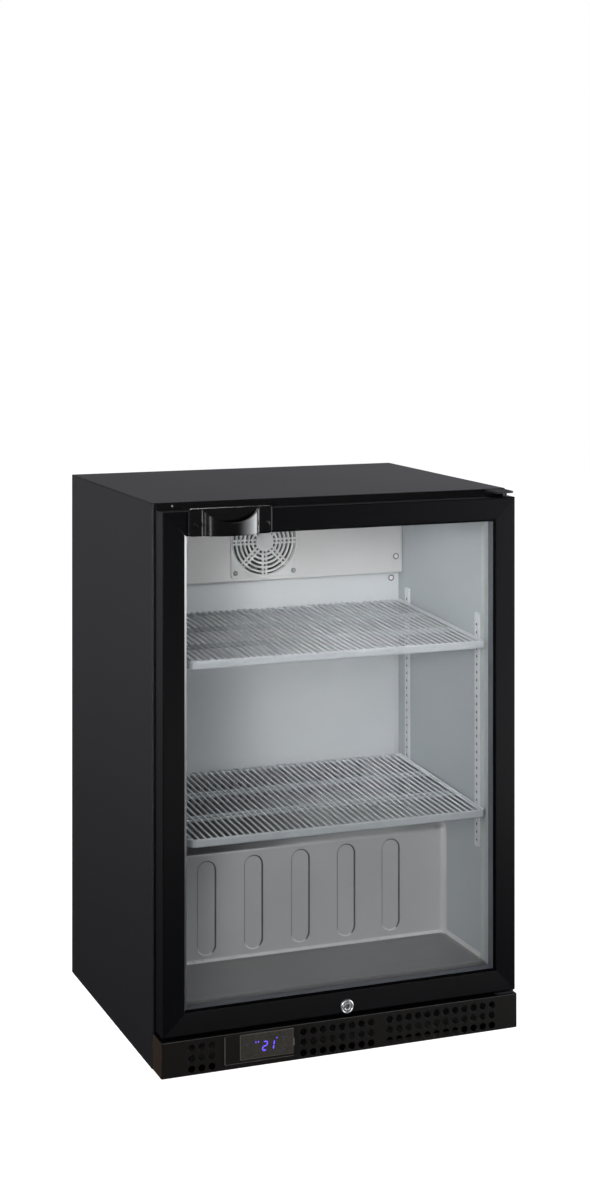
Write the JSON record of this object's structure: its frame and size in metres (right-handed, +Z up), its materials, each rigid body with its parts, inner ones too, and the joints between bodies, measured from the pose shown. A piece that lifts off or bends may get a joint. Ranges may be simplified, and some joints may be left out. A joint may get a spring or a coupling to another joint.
{
  "type": "undercounter refrigerator",
  "caption": "Black undercounter bottle cooler with a hinged glass door, cup handle, cam lock, wire shelves in a metal liner, fan evaporator, and a perforated kick panel with thermostat.",
  "frame": {"origin": "on the floor, under the middle of the footprint with the door closed", "axes": "+Z up, +X to the right seen from the front, where the hinges are, -Y to the front, where the door is"},
  "size_m": [0.6, 0.5346, 0.864],
  "materials": {
    "body_paint": "satin",
    "door_frame": "satin",
    "black_plastic": "satin",
    "dark_plastic": "satin",
    "grey_plastic": "satin",
    "handle_gloss": "gloss",
    "liner": "satin",
    "spacer": "satin",
    "zinc": "satin",
    "steel": "satin",
    "coated_wire": "satin",
    "machine_black": "satin",
    "rubber": "matte",
    "chrome": "polished",
    "copper": "satin",
    "foam": "matte",
    "glass": "polished",
    "display_lens": "polished",
    "lamp_lens": "satin"
  },
  "bodies": {
    "cabinet": {"side_panel_left": "body_paint", "side_panel_right": "body_paint", "top_panel": "body_paint", "rear_panel": "zinc", "rear_grille": "zinc", "base_pan": "zinc", "compartment_skin": "zinc", "front_frame": "black_plastic", "foam_insulation": "foam", "foot_front_left": "dark_plastic", "foot_front_right": "dark_plastic", "foot_rear_left": "dark_plastic", "foot_rear_right": "dark_plastic", "liner_left": "liner", "liner_right": "liner", "liner_back": "liner", "liner_floor": "liner", "duct_panel": "liner", "evaporator_cover": "liner", "pilaster_front_left": "liner", "pilaster_front_right": "liner", "pilaster_rear_left": "liner", "pilaster_rear_right": "liner", "shelf_rail_upper_left": "steel", "shelf_rail_upper_right": "steel", "shelf_rail_lower_left": "steel", "shelf_rail_lower_right": "steel", "interior_lamp": "lamp_lens", "fan_guard": "grey_plastic", "evaporator_fan_frame": "dark_plastic", "evaporator_coil": "liner", "hinge_bracket_top": "body_paint", "hinge_bracket_bottom": "body_paint", "kick_panel": "body_paint", "controller": "dark_plastic", "controller_display": "display_lens", "compressor": "machine_black", "condenser": "machine_black", "condenser_fan_motor": "steel", "evaporation_tray": "dark_plastic", "filter_drier": "copper", "mains_inlet": "dark_plastic"},
    "door": {"door_rail_top": "door_frame", "door_rail_bottom": "door_frame", "door_stile_left": "door_frame", "door_stile_right": "door_frame", "outer_glass": "glass", "inner_glass": "glass", "glass_spacer": "spacer", "gasket": "rubber", "handle": "handle_gloss", "hinge_bush_top": "grey_plastic", "hinge_bush_bottom": "grey_plastic", "lock_barrel": "chrome"},
    "lock": {"lock_plug": "chrome", "lock_cam": "steel"},
    "evaporator_fan": {"evaporator_fan_blade": "dark_plastic"},
    "condenser_fan": {"condenser_fan_blade": "dark_plastic"},
    "shelf_top": {"shelf_upper": "coated_wire"},
    "shelf_bottom": {"shelf_lower": "coated_wire"}
  },
  "joints": [
    {"name": "door_hinge", "type": "hinge", "parent": "cabinet", "child": "door", "pos_m": [0.286, -0.22775, 0.062], "axis": [0, 0, 1], "range_deg": [0, 110]},
    {"name": "lock_turn", "type": "hinge", "parent": "door", "child": "lock", "pos_m": [0.003, -0.24525, 0.0735], "axis": [0, 1, 0], "range_deg": [0, 90]},
    {"name": "evaporator_fan_spin", "type": "hinge", "parent": "cabinet", "child": "evaporator_fan", "pos_m": [0, 0.12875, 0.752], "axis": [0, 1, 0], "continuous": true},
    {"name": "condenser_fan_spin", "type": "hinge", "parent": "cabinet", "child": "condenser_fan", "pos_m": [-0.205, 0.12725, 0.114], "axis": [1, 0, 0], "continuous": true},
    {"name": "shelf_upper_lift", "type": "slide", "parent": "cabinet", "child": "shelf_top", "axis": [0, 0, 1], "range_m": [0, 0.03]},
    {"name": "shelf_lower_lift", "type": "slide", "parent": "cabinet", "child": "shelf_bottom", "axis": [0, 0, 1], "range_m": [0, 0.03]}
  ]
}
